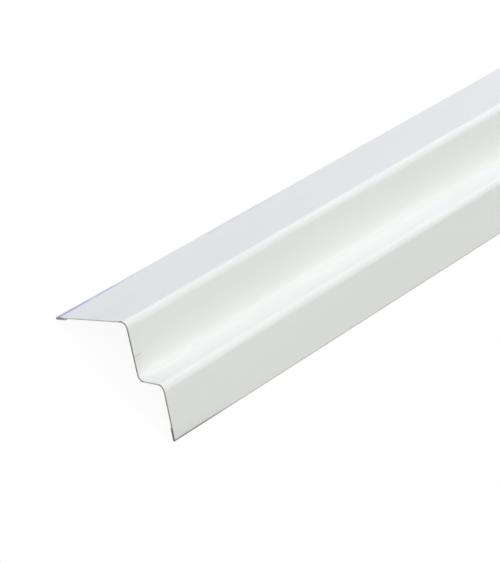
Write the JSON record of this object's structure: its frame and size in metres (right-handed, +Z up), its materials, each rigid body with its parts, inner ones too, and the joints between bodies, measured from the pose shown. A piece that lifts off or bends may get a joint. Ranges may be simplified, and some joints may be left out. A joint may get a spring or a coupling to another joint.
{
  "type": "stepped ceiling wall angle",
  "caption": "Long stepped wall angle of white coated sheet steel for a suspended ceiling: wall flange, upper ledge, small step and lower ledge, with hemmed edges.",
  "frame": {"origin": "on the floor, half way along the strip and midway between the outer edges of its two hems", "axes": "+X along the strip, +Y from the hem of the lower ledge to the hem of the wall flange, +Z up as it rests on its hems with the white face up"},
  "size_m": [3, 0.0436, 0.0175],
  "materials": {
    "white_coating": "smooth white coil coating, low satin gloss"
  },
  "bodies": {
    "root": {"wall_angle": "white_coating"}
  },
  "joints": []
}
